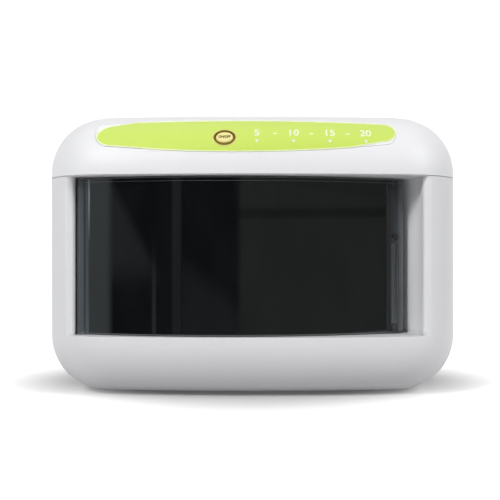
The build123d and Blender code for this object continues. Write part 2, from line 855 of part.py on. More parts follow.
for bush_name, bush_start, bush_way in (("top", seam_z, 1), ("bottom", sill_z, -1)):
    with BuildPart() as hinge_bush:
        with BuildSketch(Plane.XY.offset(bush_start)):
            with Locations((hinge_x, hinge_y)):
                Circle(bush_radius - pin_fit)
        extrude(amount=bush_way * bush_height)
        with BuildSketch(Plane.XY.offset(bush_start)):
            with Locations((hinge_x, hinge_y)):
                Circle(pin_radius + pin_fit)
        extrude(amount=bush_way * (pin_reach + end_play), mode=Mode.SUBTRACT)
    hinge_bush.part.label = "hinge_bush_" + bush_name
    export_step(hinge_bush.part, "parts/hinge_bush_" + bush_name + ".step")

striker_length = post_front - magnet_gap - door_mid_y(striker_x) + door_thickness / 2
with BuildPart() as door_strikers:
    with BuildSketch(magnet_plane.offset(magnet_gap)):
        with Locations((0, post_bottom_z), (0, post_top_z)):
            Circle(striker_radius)
    extrude(amount=striker_length)
door_strikers.part.label = "door_strikers"
export_step(door_strikers.part, "parts/door_strikers.step")

with BuildPart() as catch_magnets:
    with BuildSketch(magnet_plane):
        with Locations((0, post_bottom_z), (0, post_top_z)):
            Circle(magnet_radius)
    extrude(amount=-magnet_length)
catch_magnets.part.label = "catch_magnets"
export_step(catch_magnets.part, "parts/catch_magnets.step")

with BuildPart() as door_sensor:
    with BuildSketch(Plane.XY.offset(sill_z - wall)):
        with Locations((striker_x, post_front + post_back / 2)):
            Rectangle(sensor_length, sensor_width)
    extrude(amount=-sensor_width)
door_sensor.part.label = "door_sensor"
export_step(door_sensor.part, "parts/door_sensor.step")

# Low-voltage inlet
with BuildPart() as power_inlet:
    with BuildSketch(inlet_plane):
        Rectangle(inlet_width, inlet_height)
    extrude(amount=-inlet_depth)
    with BuildSketch(inlet_plane):
        Circle(inlet_bore_radius)
        Circle(inlet_pin_radius, mode=Mode.SUBTRACT)
    extrude(amount=-inlet_bore_depth, mode=Mode.SUBTRACT)
power_inlet.part.label = "power_inlet"
export_step(power_inlet.part, "parts/power_inlet.step")
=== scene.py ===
import math
import bpy
import bmesh
from mathutils import Matrix, Vector
from mathutils.bvhtree import BVHTree


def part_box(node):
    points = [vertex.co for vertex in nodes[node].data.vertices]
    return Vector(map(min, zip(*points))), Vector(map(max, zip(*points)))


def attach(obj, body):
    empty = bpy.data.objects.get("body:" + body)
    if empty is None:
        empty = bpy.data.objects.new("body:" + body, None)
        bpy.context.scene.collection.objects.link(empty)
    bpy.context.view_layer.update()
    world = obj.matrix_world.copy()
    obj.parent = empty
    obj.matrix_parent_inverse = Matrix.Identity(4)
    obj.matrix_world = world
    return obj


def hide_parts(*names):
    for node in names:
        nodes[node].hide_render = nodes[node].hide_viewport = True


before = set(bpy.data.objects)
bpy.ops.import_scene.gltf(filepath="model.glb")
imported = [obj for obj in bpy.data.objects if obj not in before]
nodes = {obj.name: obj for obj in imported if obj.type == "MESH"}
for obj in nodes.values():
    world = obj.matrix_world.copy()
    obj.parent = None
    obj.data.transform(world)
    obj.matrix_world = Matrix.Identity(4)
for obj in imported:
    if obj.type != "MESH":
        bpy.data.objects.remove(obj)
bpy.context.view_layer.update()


class Signal:
    # a shader socket that can be used in Python sums
    def __init__(self, paint, socket):
        self.paint = paint
        self.socket = socket

    def maths(self, operation, *values):
        return self.paint.add("ShaderNodeMath", {"operation": operation}, dict(enumerate(values)))

    def __add__(self, other):
        return self.maths("ADD", self, other)

    def __sub__(self, other):
        return self.maths("SUBTRACT", self, other)

    def __rsub__(self, other):
        return self.maths("SUBTRACT", other, self)

    def __mul__(self, other):
        return self.maths("MULTIPLY", self, other)

    def __truediv__(self, other):
        return self.maths("DIVIDE", self, other)

    def __rtruediv__(self, other):
        return self.maths("DIVIDE", other, self)

    def __pow__(self, other):
        return self.maths("POWER", self, other)

    __radd__ = __add__
    __rmul__ = __mul__

    def over(self, level):
        return self.maths("GREATER_THAN", self, level)

    def under(self, level):
        return self.maths("LESS_THAN", self, level)

    def size(self):
        return self.maths("ABSOLUTE", self)

    def larger(self, other):
        return self.maths("MAXIMUM", self, other)

    def positive(self):
        return self.larger(0.0)

    def wrapped(self, step):
        return self.maths("FLOORED_MODULO", self, step)

    def ramp(self, low, high):
        # 0 below low, 1 above high, smooth between
        settings = {"interpolation_type": "SMOOTHSTEP"}
        values = {"Value": self, "From Min": low, "From Max": high}
        return self.paint.add("ShaderNodeMapRange", settings, values)

    def between(self, rise, fall):
        # 1 from the end of rise to the start of fall, 0 outside them
        return self.ramp(*rise) * (1.0 - self.ramp(*fall))

    def near(self, middle, fade):
        # 1 close to middle, falling to 0 over the two distances in fade
        return 1.0 - (self - middle).size().ramp(*fade)


class Paint:
    # one procedural material, with its shader settings given by name
    def __init__(self, name, **settings):
        self.material = bpy.data.materials.new(name)
        self.material.use_nodes = True
        self.tree = self.material.node_tree
        self.tree.nodes.clear()
        self.output = self.tree.nodes.new("ShaderNodeOutputMaterial")
        self.shader = self.tree.nodes.new("ShaderNodeBsdfPrincipled")
        self.tree.links.new(self.shader.outputs[0], self.output.inputs["Surface"])
        for socket, value in settings.items():
            self.shader.inputs[socket.replace("_", " ")].default_value = value

    def add(self, kind, settings, values, out=0):
        node = self.tree.nodes.new(kind)
        for name, value in settings.items():
            setattr(node, name, value)
        for name, value in values.items():
            if isinstance(value, Signal):
                self.tree.links.new(value.socket, node.inputs[name])
            else:
                node.inputs[name].default_value = value
        return Signal(self, node.outputs[out])

    def place(self):
        return self.add("ShaderNodeTexCoord", {}, {}, "Object")

    def axes(self):
        node = self.tree.nodes.new("ShaderNodeSeparateXYZ")
        self.tree.links.new(self.place().socket, node.inputs[0])
        return [Signal(self, output) for output in node.outputs]

    def stretched(self, scale):
        return self.add("ShaderNodeMapping", {}, {"Vector": self.place(), "Scale": scale})

    def noise(self, scale, detail=2.0, roughness=0.5, vector=None):
        values = {"Vector": vector or self.place(), "Scale": scale, "Detail": detail, "Roughness": roughness}
        return self.add("ShaderNodeTexNoise", {}, values, "Fac")

    def span(self, value, low, high):
        return self.add("ShaderNodeMapRange", {}, {"Value": value, "To Min": low, "To Max": high})

    def colours(self, factor, first, second):
        first = first if isinstance(first, Signal) else (*first, 1.0)
        second = second if isinstance(second, Signal) else (*second, 1.0)
        return self.add("ShaderNodeMix", {"data_type": "RGBA"}, {0: factor, 6: first, 7: second}, 2)

    def bump(self, height, strength, distance, normal=None):
        values = {"Height": height, "Strength": strength, "Distance": distance}
        if normal:
            values["Normal"] = normal
        return self.add("ShaderNodeBump", {}, values)

    def softEdges(self, radius):
        return self.add("ShaderNodeBevel", {"samples": 6}, {"Radius": radius})

    def feed(self, socket, signal):
        self.tree.links.new(signal.socket, self.shader.inputs[socket])


class Sky(Paint):
    # the same sums for the world's own nodes
    def __init__(self, world):
        self.tree = world.node_tree
        self.background = self.tree.nodes["Background"]


def dress(material, *names):
    for name in names:
        slots = nodes[name].data.materials
        slots.clear()
        slots.append(material)


# Each lamp has its place, its size and its power
studio = {
    "floorSize": 6.0,
    "floorColour": 0.56,
    "backdropColour": 0.9,
    "ambient": 0.16,
    "aim": (0, 0, 0.1),
    "lamps": {
        "lowLeft": ((-1.70, -0.95, 0.45), (0.4, 0.4), 3.08),
        "keyLeft": ((-0.85, -1.20, 0.95), (0.4, 0.4), 13.4),
        "fillRight": ((1.50, -1.00, 1.05), (0.9, 0.9), 19.5),
        "top": ((0.0, -0.15, 1.6), (1.4, 1.0), 2.42),
    },
}
# The soft shade on the floor round the object: partly its real shadow, partly painted shade where the white
# glow fades out near it
shade = {
    "length": 0.131,
    "depth": 0.070,
    "middle": 0.015,
    "side": 0.113,
    "stretch": 1.17,
    "reach": (0.012, 0.155),
    "contact": 0.09,
}
camera = {"lens": 67.2, "sensor": 36.0, "near": 0.01, "place": (-0.0019, -0.757, 0.1069)}


def studioPlane(name, corners, material):
    mesh = bpy.data.meshes.new(name)
    mesh.from_pydata(corners, [], [(0, 1, 2, 3)])
    plane = bpy.data.objects.new(name, mesh)
    bpy.context.scene.collection.objects.link(plane)
    mesh.materials.append(material)


def shownRays(paint):
    rays = paint.tree.nodes.new("ShaderNodeLightPath")
    kinds = ("Is Camera Ray", "Is Glossy Ray", "Is Transmission Ray")
    cameraRay, glossyRay, passingRay = [Signal(paint, rays.outputs[kind]) for kind in kinds]
    return cameraRay + glossyRay + passingRay


def palePaint(name, tone, roughness, specular):
    # one plain tone in the room's light, with a white glow to be fed
    paint = Paint(name, Roughness=roughness, Specular_IOR_Level=specular)
    paint.shader.inputs["Base Color"].default_value = (tone, tone, tone, 1.0)
    paint.shader.inputs["Emission Color"].default_value = (1.0, 1.0, 1.0, 1.0)
    return paint


def floorPaint():
    # white away from the object, with painted shade near it where the glow fades out, over its real shadow
    paint = palePaint("paleFloor", studio["floorColour"], 0.6, 0.0)
    x, y, z = paint.axes()
    depth = (1.0 - (x / shade["length"]) ** 2.0).positive() * shade["depth"]
    across = (x.size() - shade["side"]).positive() * shade["stretch"]
    along = ((y - shade["middle"]).size() - depth).positive()
    away = ((across * across + along * along) ** 0.5).ramp(*shade["reach"])
    paint.feed("Emission Strength", shownRays(paint) * (away * (1.0 - shade["contact"]) + shade["contact"]))
    return paint.material


def backdropPaint():
    paint = palePaint("paleBackdrop", studio["backdropColour"], 0.8, 0.5)
    paint.feed("Emission Strength", shownRays(paint))
    return paint.material


def softbox(name, place, size, power):
    light = bpy.data.lights.new(name, "AREA")
    light.shape = "RECTANGLE"
    light.size, light.size_y = size
    light.energy = power
    lamp = bpy.data.objects.new(name, light)
    lamp.location = place
    lamp.rotation_euler = (Vector(studio["aim"]) - Vector(place)).to_track_quat("-Z", "Y").to_euler()
    bpy.context.scene.collection.objects.link(lamp)


half = studio["floorSize"] / 2
floorCorners = [(-half, -half, 0), (half, -half, 0), (half, half, 0), (-half, half, 0)]
backdropCorners = [(-half, half, 0), (half, half, 0), (half, half, half), (-half, half, half)]
studioPlane("floor", floorCorners, floorPaint())
studioPlane("backdrop", backdropCorners, backdropPaint())
for lampName, (lampPlace, lampSize, lampPower) in studio["lamps"].items():
    softbox(lampName, lampPlace, lampSize, lampPower)

# The world is plain white to the rays that show it, and dim as a light
world = bpy.data.worlds.new("studioWorld")
bpy.context.scene.world = world
world.use_nodes = True
sky = Sky(world)
sky.background.inputs["Color"].default_value = (1, 1, 1, 1)
strength = shownRays(sky) * (1.0 - studio["ambient"]) + studio["ambient"]
sky.tree.links.new(strength.socket, sky.background.inputs["Strength"])

cameraData = bpy.data.cameras.new("camera")
cameraData.lens = camera["lens"]
cameraData.sensor_width = camera["sensor"]
cameraData.clip_start = camera["near"]
cameraObject = bpy.data.objects.new("camera", cameraData)
cameraObject.location = camera["place"]
cameraObject.rotation_euler = (math.pi / 2, 0, 0)
bpy.context.scene.collection.objects.link(cameraObject)
bpy.context.scene.camera = cameraObject
bpy.context.scene.view_settings.view_transform = "Standard"
print("studio ready")

# A dim curved card in front, seen only in reflections
card = {
    "radius": 0.5,
    "middleY": -0.05,
    "foot": 0.001,
    "height": 0.6,
    "spread": 100,
    "steps": 60,
    "dark": 0.035,
    "mottle": 0.06,
    "tints": ((0.88, 0.97, 1.02), (0.90, 1.0, 0.97)),
}
# Shapes on the card: edges and fades in metres, tones as brightness
leftShape = {"edge": (-0.395, -0.375), "tone": 0.85}
slantShape = {"foot": (-0.297, 0.107), "lean": 1.143, "blur": 0.018, "rise": (0.055, 0.105), "tone": 0.23}
thinShape = {"middle": -0.271, "fade": (0.003, 0.008), "top": (0.03, 0.13), "tone": 0.35}
broadShape = {"middle": -0.202, "fade": (0.010, 0.018), "tone": 0.20}
lowShape = {"foot": (0.093, -0.184), "lean": 0.29, "blur": 0.02, "start": (-0.19, -0.18), "tone": 0.14}
rightShape = {"edge": (-0.004, 0.026), "tone": 0.30}
bandShape = {"rise": (0.142, 0.148), "fall": (0.154, 0.160), "tone": 0.14}


def leaningEdge(first, second, shape):
    # 1 on the low side of a slanted line through the shape's foot, which is given along the same two axes
    firstFoot, secondFoot = shape["foot"]
    past = (first - firstFoot) + (second - secondFoot) * shape["lean"]
    return 1.0 - past.ramp(-shape["blur"], shape["blur"])


def cardPaint():
    # slanted shapes at the left, an even tone at the right
    paint = Paint("dimCard")
    paint.tree.nodes.remove(paint.shader)
    x, y, z = paint.axes()
    left = 1.0 - x.ramp(*leftShape["edge"])
    leaning = leaningEdge(x, z, slantShape) * z.ramp(*slantShape["rise"]) * (1.0 - left)
    thin = x.near(thinShape["middle"], thinShape["fade"]) * (1.0 - z.ramp(*thinShape["top"]))
    broad = x.near(broadShape["middle"], broadShape["fade"])
    low = leaningEdge(z, x, lowShape) * x.ramp(*lowShape["start"])
    mottle = paint.noise(9.0, 3.0).ramp(0.3, 0.7) * card["mottle"]
    tone = left * leftShape["tone"] + leaning * slantShape["tone"] + thin * thinShape["tone"]
    tone = tone + broad * broadShape["tone"] + low * lowShape["tone"] + mottle + card["dark"]
    right = x.ramp(*rightShape["edge"])
    band = z.between(bandShape["rise"], bandShape["fall"]) * bandShape["tone"]
    tone = tone * (1.0 - right) + right * (rightShape["tone"] + mottle - band)
    glow = paint.tree.nodes.new("ShaderNodeEmission")
    paint.tree.links.new(paint.colours(right, *card["tints"]).socket, glow.inputs["Color"])
    paint.tree.links.new(tone.socket, glow.inputs["Strength"])
    paint.tree.links.new(glow.outputs[0], paint.output.inputs["Surface"])
    return paint.material


cardCorners = []
for step in range(card["steps"] + 1):
    angle = math.radians(card["spread"]) * (2 * step / card["steps"] - 1)
    cardX = card["radius"] * math.sin(angle)
    cardY = card["middleY"] - card["radius"] * math.cos(angle)
    cardCorners += [(cardX, cardY, card["foot"]), (cardX, cardY, card["height"])]
cardFaces = [(2 * n, 2 * n + 2, 2 * n + 3, 2 * n + 1) for n in range(card["steps"])]
cardMesh = bpy.data.meshes.new("dimCard")
cardMesh.from_pydata(cardCorners, [], cardFaces)
cardMesh.materials.append(cardPaint())
cardObject = bpy.data.objects.new("dimCard", cardMesh)
bpy.context.scene.collection.objects.link(cardObject)
for way in ("camera", "diffuse", "transmission", "shadow", "volume_scatter"):
    setattr(cardObject, "visible_" + way, False)


# The strips beside the window, painted a shade lighter than the rest of the lower shell: a painted highlight
# along the window's edges and the cove
windowPaintedHighlight = {
    "left": ((-0.1335, -0.1305), (-0.1280, -0.1260)),
    "right": ((0.1080, 0.1100), (0.1240, 0.1270)),
    "foot": (0.0465, 0.0485),
    "back": -0.02,
    "colour": (0.90, 0.90, 0.91),
}
moulded = {"mottle": 0.015, "cool": 0.019, "rough": (0.38, 0.46), "edges": 0.0009}


def mouldedWhite(name, tone, paintedSideHighlight=False):
    paint = Paint(name, IOR=1.5, Specular_IOR_Level=0.35)
    low, high = tone - moulded["mottle"], tone + moulded["mottle"]
    darker, lighter = (low, low, low + moulded["cool"]), (high, high, high + moulded["cool"])
    colour = paint.colours(paint.noise(6.0, 3.0), darker, lighter)
    if paintedSideHighlight:
        x, y, z = paint.axes()
        # painted highlight: the same plastic made lighter in strips beside the window
        sides = x.between(*windowPaintedHighlight["left"]).larger(x.between(*windowPaintedHighlight["right"]))
        sides = sides * z.ramp(*windowPaintedHighlight["foot"]) * y.under(windowPaintedHighlight["back"])
        colour = paint.colours(sides, colour, windowPaintedHighlight["colour"])
    paint.feed("Base Color", colour)
    paint.feed("Roughness", paint.span(paint.noise(14.0, 4.0), *moulded["rough"]))
    rounded = paint.softEdges(moulded["edges"])
    paint.feed("Normal", paint.bump(paint.noise(1400.0, 2.0), 0.04, 0.0002, rounded))
    return paint.material


# Distances from the pane's left, right, lower and upper edge, and the heights where the fold's line begins,
# for its painted highlights and reflections
paneHighlights = {
    "leftEnd": (0.0085, 0.0105),
    "bead": (0.0030, 0.0070),
    "fold": 0.0098,
    "foldFade": (0.0003, 0.0010),
    "foldRise": (0.105, 0.155),
    "rightEnd": (-0.013, -0.004),
    "rightTip": (-0.006, -0.001),
    "footCut": (0.0006, 0.0010),
    "topCut": (-0.0010, -0.0006),
    "topLine": ((-0.0034, -0.0031), (-0.0029, -0.0026)),
    "weight": 0.8,
}


def smokedAcrylic():
    # nearly black through its face, painted greyer where the bead, the bent return and the cut edges catch
    # light: painted highlights and painted streaky reflections; the cut edges' extra roughness is real
    paint = Paint("smokedAcrylic", IOR=1.49, Alpha=0.94)
    low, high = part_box("door_pane")
    x, y, z = paint.axes()
    fromLeft, fromRight, fromFoot, fromTop = x - low.x, x - high.x, z - low.z, z - high.z
    streaks = paint.noise(260.0, 3.0, 0.6, paint.stretched((1.0, 1.0, 0.015)))
    leftEnd = 1.0 - fromLeft.ramp(*paneHighlights["leftEnd"])
    beadSide = 1.0 - fromLeft.ramp(*paneHighlights["bead"])
    fold = fromLeft.near(paneHighlights["fold"], paneHighlights["foldFade"]) * z.ramp(*paneHighlights["foldRise"])
    cutEdge = 1.0 - fromFoot.ramp(*paneHighlights["footCut"]) + fromTop.ramp(*paneHighlights["topCut"])
    line = fromTop.between(*paneHighlights["topLine"]) * 0.5
    weight = paneHighlights["weight"]
    whole = paint.colours(paint.noise(8.0, 2.0), (0.0025, 0.003, 0.0035), (0.0045, 0.005, 0.005))
    # painted reflections: lighter vertical streaks on the bent ends
    ends = paint.colours(streaks.ramp(0.35, 0.65), (0.025, 0.032, 0.036), (0.075, 0.088, 0.096))
    whole = paint.colours(leftEnd.larger(fromRight.ramp(*paneHighlights["rightEnd"])), whole, ends)
    # painted highlights on the bead, the tip, the fold's line and the cut edges
    whole = paint.colours(beadSide * weight, whole, (0.095, 0.110, 0.122))
    whole = paint.colours(fromRight.ramp(*paneHighlights["rightTip"]) * weight, whole, (0.16, 0.175, 0.185))
    whole = paint.colours(fold * weight, whole, (0.22, 0.24, 0.25))
    paint.feed("Base Color", paint.colours(cutEdge + line, whole, (0.16, 0.17, 0.175)))
    paint.feed("Roughness", paint.span(paint.noise(30.0, 3.0), 0.02, 0.05) + cutEdge * 0.25)
    return paint.material


# The lime print's two rounded ends: half its height at the end of the curve, and how it grows inwards
labelPrint = (
    {"tip": -0.1123, "way": 1.0, "reach": 0.0135, "half": 0.0078, "grow": 0.14,
     "middle": 0.1883, "drift": 0.046},
    {"tip": 0.1030, "way": -1.0, "reach": 0.0095, "half": 0.0068, "grow": 0.13,
     "middle": 0.1915, "drift": -0.055},
)


def limeFilm():
    # lime inside a long oval, white where the film runs on past the print's rounded ends
    paint = Paint("limeFilm", IOR=1.5)
    x, y, z = paint.axes()
    outside = []
    for end in labelPrint:
        inward = (x - end["tip"]) * end["way"]
        curve = (1.0 - inward / end["reach"]).positive()
        half = (1.0 - curve * curve).positive() ** 0.5 * end["half"]
        half = half + (inward - end["reach"]).positive() * end["grow"]
        fromMiddle = (z - end["middle"] - inward * end["drift"]).size()
        outside.append((fromMiddle - half).over(0.0))
    film = paint.colours(paint.noise(10.0, 2.0), (0.58, 0.75, 0.11), (0.61, 0.78, 0.13))
    paint.feed("Base Color", paint.colours(outside[0].larger(outside[1]), film, (0.90, 0.903, 0.91)))
    paint.feed("Roughness", paint.span(paint.noise(50.0, 2.0), 0.30, 0.38))
    paint.feed("Normal", paint.bump(paint.noise(900.0, 2.0), 0.03, 0.0001, paint.softEdges(0.0004)))
    return paint.material


def finish(
    name, first, second, rough, scale=60.0, metallic=0.0, grain=(1, 1, 1), relief=0.0, edges=0.0, shine=0.5
):
    # two tones mottled together, with roughness and a fine relief on the same grain
    paint = Paint(name, Metallic=metallic, Specular_IOR_Level=shine)
    grained = paint.noise(scale, 4.0, 0.6, paint.stretched(grain))
    paint.feed("Base Color", paint.colours(grained.ramp(0.3, 0.7), first, second))
    paint.feed("Roughness", paint.span(paint.noise(scale * 2.5, 3.0, 0.5, paint.stretched(grain)), *rough))
    rounded = paint.softEdges(edges) if edges else None
    if relief:
        paint.feed("Normal", paint.bump(grained, relief, 0.0003, rounded))
    elif rounded:
        paint.feed("Normal", rounded)
    return paint.material


def brushedSheet():
    # rolled aluminium: fine lines along the sheet, a few rub marks
    paint = Paint("brushedAluminium", Metallic=1.0)
    lines = paint.noise(90.0, 5.0, 0.7, paint.stretched((0.03, 1.0, 14.0)))
    marks = paint.noise(35.0, 5.0, 0.6).ramp(0.55, 0.75)
    paint.feed("Base Color", paint.colours(lines, (0.70, 0.71, 0.72), (0.84, 0.85, 0.86)))
    paint.feed("Roughness", paint.span(lines, 0.22, 0.36) + marks * 0.12)
    paint.feed("Normal", paint.bump(lines, 0.12, 0.0001, paint.softEdges(0.0003)))
    return paint.material


boardPads = {"pitch": 0.004, "fade": (0.0004, 0.0006)}


def circuitBoard():
    # green mask with copper runs in two directions and small pads
    paint = Paint("circuitBoard", IOR=1.5)
    x, y, z = paint.axes()
    runs = paint.noise(120.0, 2.0, 0.5, paint.stretched((0.25, 3.0, 3.0))).ramp(0.52, 0.55)
    crossing = paint.noise(120.0, 2.0, 0.5, paint.stretched((3.0, 0.25, 0.25))).ramp(0.56, 0.59)
    pitch, fade = boardPads["pitch"], boardPads["fade"]
    pads = x.wrapped(pitch).near(pitch / 2, fade) * y.wrapped(pitch).near(pitch / 2, fade)
    mask = paint.colours(runs.larger(crossing), (0.012, 0.09, 0.03), (0.02, 0.16, 0.05))
    paint.feed("Base Color", paint.colours(pads, mask, (0.55, 0.52, 0.42)))
    paint.feed("Roughness", 0.30 + runs * 0.1)
    return paint.material


def footRubber():
    paint = Paint("footRubber")
    mottled = paint.colours(paint.noise(300.0, 3.0), (0.018, 0.018, 0.018), (0.034, 0.033, 0.032))
    paint.feed("Base Color", mottled)
    paint.feed("Roughness", paint.span(paint.noise(500.0, 2.0), 0.65, 0.85))
    return paint.material


white = mouldedWhite("mouldedWhite", 0.785, paintedSideHighlight=True)
# the hood is the same plastic as the lower shell, painted a lighter tone: painted light from above
hoodPaintedLighter = mouldedWhite("hoodPaintedLighter", 0.845)
acrylic = smokedAcrylic()
lime = limeFilm()
brushed = brushedSheet()
board = circuitBoard()
rubber = footRubber()
# Each finish: two tones, the roughness range, the grain's scale, and metallic where it is a metal
brown = finish(
    "brownRing", (0.16, 0.105, 0.003), (0.22, 0.145, 0.005), (0.30, 0.40), 80.0, edges=0.0003, shine=0.15
)
cream = finish("creamCap", (0.80, 0.72, 0.26), (0.86, 0.78, 0.32), (0.28, 0.36), 50.0, edges=0.0003)
lens = finish("lightLens", (0.78, 0.84, 0.62), (0.86, 0.90, 0.70), (0.08, 0.16), 200.0)
zinc = finish("zincSteel", (0.52, 0.52, 0.50), (0.64, 0.64, 0.62), (0.28, 0.42), 400.0, 1.0, edges=0.00015)
darkSteel = finish("darkSteel", (0.06, 0.06, 0.06), (0.10, 0.10, 0.10), (0.3, 0.45), 300.0, 1.0)
polished = finish(
    "polishedAluminium", (0.82, 0.83, 0.84), (0.88, 0.89, 0.90), (0.08, 0.16), 60.0, 1.0, (0.1, 1, 1), 0.03
)
chrome = finish(
    "chromeWire", (0.70, 0.70, 0.72), (0.80, 0.80, 0.82), (0.06, 0.14), 250.0, 1.0, (0.2, 0.2, 1), 0.02
)
blackPlastic = finish(
    "blackPlastic", (0.018, 0.018, 0.019), (0.030, 0.030, 0.031), (0.4, 0.55), 500.0, relief=0.05
)
acetal = finish(
    "whiteAcetal", (0.62, 0.62, 0.59), (0.70, 0.70, 0.67), (0.38, 0.5), 120.0, relief=0.03, edges=0.0003
)
ceramic = finish(
    "socketCeramic", (0.66, 0.65, 0.62), (0.74, 0.73, 0.70), (0.3, 0.45), 200.0, relief=0.04, edges=0.0004
)

dress(white, "lower_shell", "base_plate", "rear_cover")
dress(hoodPaintedLighter, "top_shell")
dress(acrylic, "door_pane")
dress(lime, "label_plate")
dress(brown, "button_bezel")
dress(cream, "power_button")
dress(lens, "timer_lights")
dress(rubber, "foot_front_left", "foot_front_right", "foot_rear_left", "foot_rear_right")
dress(zinc, "base_screws", "rear_screws", "door_pin_top", "door_pin_bottom", "catch_magnets")
dress(darkSteel, "door_strikers")
dress(brushed, "chamber_liner", "chamber_ceiling", "lamp_caps")
dress(polished, "lamp_reflector")
dress(chrome, "lamp_guard", "wire_rack")
dress(board, "supply_board", "control_board")
dress(blackPlastic, "supply_parts", "button_switch", "door_sensor", "power_inlet")
dress(acetal, "hinge_bush_top", "hinge_bush_bottom", "lamp_tube")
dress(ceramic, "lamp_socket_left", "lamp_socket_right")
print("materials ready")


def newTree(name, inputs):
    # an empty Geometry Nodes tree, with what its named inputs give
    tree = bpy.data.node_groups.new(name, "GeometryNodeTree")
    tree.interface.new_socket("Geometry", in_out="OUTPUT", socket_type="NodeSocketGeometry")
    for label, kind in inputs.items():
        tree.interface.new_socket(label, in_out="INPUT", socket_type="NodeSocket" + kind)
    return tree, tree.nodes.new("NodeGroupInput").outputs


def endTree(tree, source, material):
    # real geometry in its material, as the tree's result
    real = tree.nodes.new("GeometryNodeRealizeInstances")
    finished = tree.nodes.new("GeometryNodeSetMaterial")
    result = tree.nodes.new("NodeGroupOutput")
    tree.links.new(source, real.inputs["Geometry"])
    tree.links.new(real.outputs["Geometry"], finished.inputs["Geometry"])
    tree.links.new(material, finished.inputs["Material"])
    tree.links.new(finished.outputs["Geometry"], result.inputs["Geometry"])
    return tree


def copiesTree():
    # copies of one small part along a line
    inputs = {"Unit": "Object", "Count": "Int", "Start": "Vector", "Step": "Vector", "Finish": "Material"}
    tree, given = newTree("copiesAlongLine", inputs)
    line = tree.nodes.new("GeometryNodeMeshLine")
    unit = tree.nodes.new("GeometryNodeObjectInfo")
    placed = tree.nodes.new("GeometryNodeInstanceOnPoints")
    for source, target in (
        (given["Count"], line.inputs["Count"]),
        (given["Start"], line.inputs["Start Location"]),
        (given["Step"], line.inputs["Offset"]),
        (given["Unit"], unit.inputs["Object"]),
        (line.outputs["Mesh"], placed.inputs["Points"]),
        (unit.outputs["Geometry"], placed.inputs["Instance"]),
    ):
        tree.links.new(source, target)
    return endTree(tree, placed.outputs["Instances"], given["Finish"])


def beadTree():
    # a round bead or wire along the edges of a mesh
    inputs = {"Path": "Geometry", "Radius": "Float", "Sides": "Int", "Finish": "Material"}
    tree, given = newTree("beadAlongEdges", inputs)
    curve = tree.nodes.new("GeometryNodeMeshToCurve")
    ring = tree.nodes.new("GeometryNodeCurvePrimitiveCircle")
    swept = tree.nodes.new("GeometryNodeCurveToMesh")
    swept.inputs["Fill Caps"].default_value = True
    for source, target in (
        (given["Path"], curve.inputs["Mesh"]),
        (given["Radius"], ring.inputs["Radius"]),
        (given["Sides"], ring.inputs["Resolution"]),
        (curve.outputs["Curve"], swept.inputs["Curve"]),
        (ring.outputs["Curve"], swept.inputs["Profile Curve"]),
    ):
        tree.links.new(source, target)
    return endTree(tree, swept.outputs["Mesh"], given["Finish"])


copiesAlongLine = copiesTree()
beadAlongEdges = beadTree()


def temporary(name, data):
    holder = bpy.data.objects.new(name, data)
    bpy.context.scene.collection.objects.link(holder)
    return holder


def settled(holder):
    # the holder's evaluated shape as a plain mesh, with the holder gone
    bpy.context.view_layer.update()
    graph = bpy.context.evaluated_depsgraph_get()
    mesh = bpy.data.meshes.new_from_object(holder.evaluated_get(graph))
    holder.modifiers.clear()
    bpy.data.objects.remove(holder)
    return mesh


def grown(tree, mesh, **given):
    holder = temporary("growing", mesh)
    modifier = holder.modifiers.new(tree.name, "NODES")
    modifier.node_group = tree
    for item in tree.interface.items_tree:
        if item.in_out == "INPUT" and item.name in given:
            modifier[item.identifier] = given[item.name]
    return settled(holder)


def copies(unitMesh, count, step, material):
    # a centred row of copies
    step = Vector(step)
    start = step * (1 - count) / 2
    unit = temporary("unit", unitMesh)
    row = bpy.data.meshes.new("row")
    row = grown(copiesAlongLine, row, Unit=unit, Count=count, Start=start, Step=step, Finish=material)
    bpy.data.objects.remove(unit)
    return row


def bead(points, closed, radius, sides, material):
    mesh = bpy.data.meshes.new("path")
    edges = [(n, n + 1) for n in range(len(points) - 1)] + ([(len(points) - 1, 0)] if closed else [])
    mesh.from_pydata(points, edges, [])
    return grown(beadAlongEdges, mesh, Radius=radius, Sides=sides, Finish=material)


def closedMesh(shape, name, smoothAngle=0.6):
    bmesh.ops.remove_doubles(shape, verts=shape.verts, dist=1e-7)
    bmesh.ops.recalc_face_normals(shape, faces=shape.faces)
    mesh = bpy.data.meshes.new(name)
    shape.to_mesh(mesh)
    shape.free()
    mesh.shade_smooth()
    mesh.set_sharp_from_angle(angle=smoothAngle)
    return mesh


def turned(profile, segments, ring=False):
    # a solid turned about Z from (radius, height) pairs, or a ring where the pairs go round
    shape = bmesh.new()
    circles = []
    for radius, height in profile:
        count = segments if radius else 1
        turns = [2 * math.pi * n / count for n in range(count)]
        circles.append([shape.verts.new((radius * math.cos(t), radius * math.sin(t), height)) for t in turns])
    pairs = list(zip(circles, circles[1:])) + ([(circles[-1], circles[0])] if ring else [])
    for lower, upper in pairs:
        for n in range(segments):
            m = n + 1
            below = (lower[n % len(lower)], lower[m % len(lower)])
            above = (upper[m % len(upper)], upper[n % len(upper)])
            shape.faces.new(list(dict.fromkeys(below + above)))
    return closedMesh(shape, "turned")


def joined(name, *meshes):
    shape = bmesh.new()
    for mesh in meshes:
        shape.from_mesh(mesh)
    mesh = bpy.data.meshes.new(name)
    shape.to_mesh(mesh)
    shape.free()
    for polygon in mesh.polygons:
        polygon.material_index = 0
    return mesh


def moved(mesh, place=(0, 0, 0), turn=None):
    copy = mesh.copy()
    copy.transform(Matrix.Translation(place) @ (turn.to_4x4() if turn else Matrix()))
    return copy


def fit(name, mesh, material, body, slot, *replaced):
    mesh.materials.clear()
    mesh.materials.append(material)
    piece = temporary(name, mesh)
    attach(piece, body)
    if replaced:
        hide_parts(*replaced)


